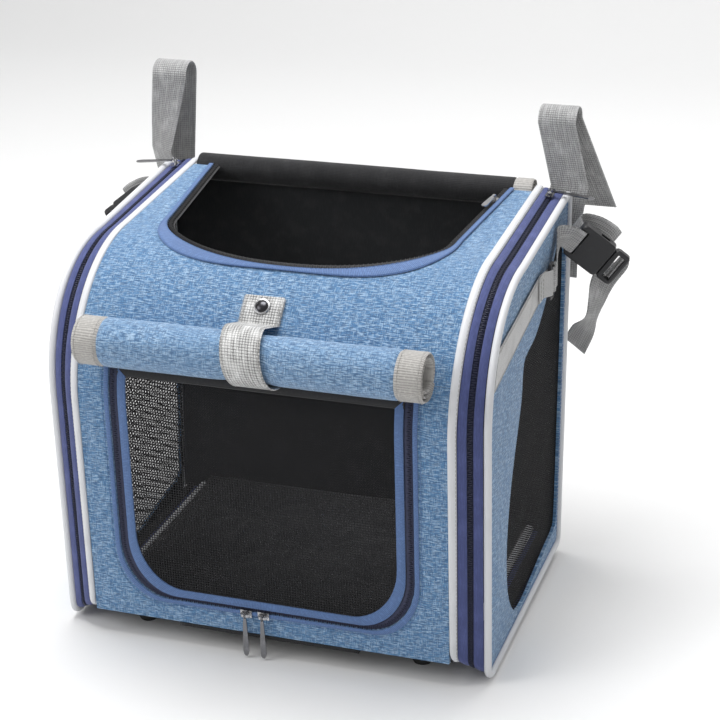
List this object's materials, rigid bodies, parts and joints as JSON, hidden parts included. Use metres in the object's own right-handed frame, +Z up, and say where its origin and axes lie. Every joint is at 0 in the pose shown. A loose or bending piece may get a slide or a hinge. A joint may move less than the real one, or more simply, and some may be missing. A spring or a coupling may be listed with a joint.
{
  "type": "dog bicycle basket",
  "caption": "Soft pet basket that hangs on a handlebar, with a zipped mesh front door, rolled-up flaps, a cushion, and side walls that unzip and fan out.",
  "frame": {"origin": "on the floor under the feet, at the middle of the part's width and depth", "axes": "+X to the basket's right and along its widest extent, +Y to the rear where it hangs, +Z up"},
  "size_m": [0.5412, 0.3672, 0.4693],
  "materials": {
    "blue_cloth": "heathered woven cloth",
    "royal_binding": "ribbed binding tape",
    "navy_band": "plain woven cloth",
    "navy_zip": "coil zip on woven tape",
    "white_piping": "smooth coated cord",
    "black_cloth": "coarse woven cloth",
    "black_mesh": "open knitted mesh",
    "grey_binding": "woven binding",
    "grey_webbing": "coarse webbing",
    "reflective_tape": "woven reflective tape",
    "black_plastic": "moulded, fine grain",
    "black_rubber": "moulded, matte",
    "zip_metal": "plated, lightly worn",
    "board": "flat sheet",
    "cushion_cloth": "soft brushed cloth"
  },
  "bodies": {
    "basket": {"back_panel": "black_cloth", "base_board": "board", "base_panel": "black_cloth", "cushion_pad": "cushion_cloth", "flap_strap": "grey_binding", "foot_front_left": "black_rubber", "foot_front_right": "black_rubber", "foot_rear_left": "black_rubber", "foot_rear_right": "black_rubber", "front_panel": "blue_cloth", "front_piping_left": "white_piping", "front_piping_right": "white_piping", "gusset_band_inner_left": "navy_band", "gusset_band_inner_right": "navy_band", "gusset_pleat_left": "black_cloth", "gusset_pleat_right": "black_cloth", "gusset_zip_left": "navy_zip", "gusset_zip_right": "navy_zip", "handlebar_strap_left": "grey_webbing", "handlebar_strap_right": "grey_webbing", "privacy_flap_binding_left": "grey_binding", "privacy_flap_binding_right": "grey_binding", "privacy_flap_roll": "blue_cloth", "top_flap_roll": "black_cloth", "top_opening_binding": "royal_binding", "top_panel": "blue_cloth", "top_zip": "navy_zip"},
    "door": {"door_mesh": "black_mesh", "door_binding": "royal_binding", "door_zip": "navy_zip"},
    "door_runner_left": {"door_slider_left": "zip_metal"},
    "door_runner_right": {"door_slider_right": "zip_metal"},
    "door_tab_left": {"door_pull_left": "zip_metal"},
    "door_tab_right": {"door_pull_right": "zip_metal"},
    "snap": {"snap_cap": "zip_metal"},
    "top_runner": {"top_zip_slider": "zip_metal"},
    "side_left": {"gusset_band_outer_left": "navy_band", "side_piping_left": "white_piping", "side_panel_left": "blue_cloth", "side_mesh_left": "black_mesh", "reflective_strip_left": "reflective_tape", "side_loop_left": "black_plastic", "loop_webbing_left": "grey_webbing", "buckle_socket_left": "black_plastic", "stabiliser_strap_left": "grey_webbing"},
    "plug_left": {"buckle_plug_left": "black_plastic"},
    "gusset_runner_left": {"gusset_slider_left": "zip_metal"},
    "gusset_tab_left": {"gusset_pull_left": "zip_metal"},
    "side_right": {"gusset_band_outer_right": "navy_band", "side_piping_right": "white_piping", "side_panel_right": "blue_cloth", "side_mesh_right": "black_mesh", "reflective_strip_right": "reflective_tape", "side_loop_right": "black_plastic", "loop_webbing_right": "grey_webbing", "buckle_socket_right": "black_plastic", "stabiliser_strap_right": "grey_webbing"},
    "plug_right": {"buckle_plug_right": "black_plastic"},
    "gusset_runner_right": {"gusset_slider_right": "zip_metal"},
    "gusset_tab_right": {"gusset_pull_right": "zip_metal"}
  },
  "joints": [
    {"name": "door_hinge", "type": "hinge", "parent": "basket", "child": "door", "pos_m": [0, -0.14303, 0.2743], "axis": [-1, 0, 0], "range_deg": [0, 75]},
    {"name": "snap_swing", "type": "hinge", "parent": "basket", "child": "snap", "pos_m": [-0.006, -0.14897, 0.32853], "axis": [1, 0, 0], "range_deg": [0, 60], "deforming": ["flap_strap"]},
    {"name": "top_zip_travel", "type": "slide", "parent": "basket", "child": "top_runner", "axis": [-0.098, -0.993, -0.0658], "range_m": [0, 0.06]},
    {"name": "door_zip_travel_left", "type": "slide", "parent": "door", "child": "door_runner_left", "axis": [-1, 0, 0], "range_m": [0, 0.06]},
    {"name": "door_pull_swing_left", "type": "hinge", "parent": "door_runner_left", "child": "door_tab_left", "pos_m": [-0.0195, -0.15518, 0.0443], "axis": [-1, 0, 0], "range_deg": [0, 150]},
    {"name": "side_wall_swing_left", "type": "hinge", "parent": "basket", "child": "side_left", "pos_m": [-0.202, 0.12692, 0.0233], "axis": [0, -0.0789, -0.9969], "range_deg": [0, 7], "deforming": ["gusset_pleat_left"]},
    {"name": "buckle_release_left", "type": "slide", "parent": "side_left", "child": "plug_left", "axis": [-0.7854, 0.1201, -0.6073], "range_m": [0, 0.026], "deforming": ["stabiliser_strap_left"]},
    {"name": "gusset_zip_travel_left", "type": "slide", "parent": "basket", "child": "gusset_runner_left", "axis": [0, -0.9972, -0.0751], "range_m": [0, 0.1]},
    {"name": "gusset_pull_swing_left", "type": "hinge", "parent": "gusset_runner_left", "child": "gusset_tab_left", "pos_m": [-0.19241, 0.12844, 0.37782], "axis": [0, 0.9972, 0.0751], "range_deg": [0, 120]},
    {"name": "door_zip_travel_right", "type": "slide", "parent": "door", "child": "door_runner_right", "axis": [1, 0, 0], "range_m": [0, 0.06]},
    {"name": "door_pull_swing_right", "type": "hinge", "parent": "door_runner_right", "child": "door_tab_right", "pos_m": [-0.0025, -0.15518, 0.0443], "axis": [-1, 0, 0], "range_deg": [0, 150]},
    {"name": "side_wall_swing_right", "type": "hinge", "parent": "basket", "child": "side_right", "pos_m": [0.202, 0.12692, 0.0233], "axis": [0, 0.0789, 0.9969], "range_deg": [0, 7], "deforming": ["gusset_pleat_right"]},
    {"name": "buckle_release_right", "type": "slide", "parent": "side_right", "child": "plug_right", "axis": [0.7854, 0.1201, -0.6073], "range_m": [0, 0.026], "deforming": ["stabiliser_strap_right"]},
    {"name": "gusset_zip_travel_right", "type": "slide", "parent": "basket", "child": "gusset_runner_right", "axis": [0, -0.9972, -0.0751], "range_m": [0, 0.1]},
    {"name": "gusset_pull_swing_right", "type": "hinge", "parent": "gusset_runner_right", "child": "gusset_tab_right", "pos_m": [0.19241, 0.12844, 0.37782], "axis": [0, -0.9972, -0.0751], "range_deg": [0, 120]}
  ]
}
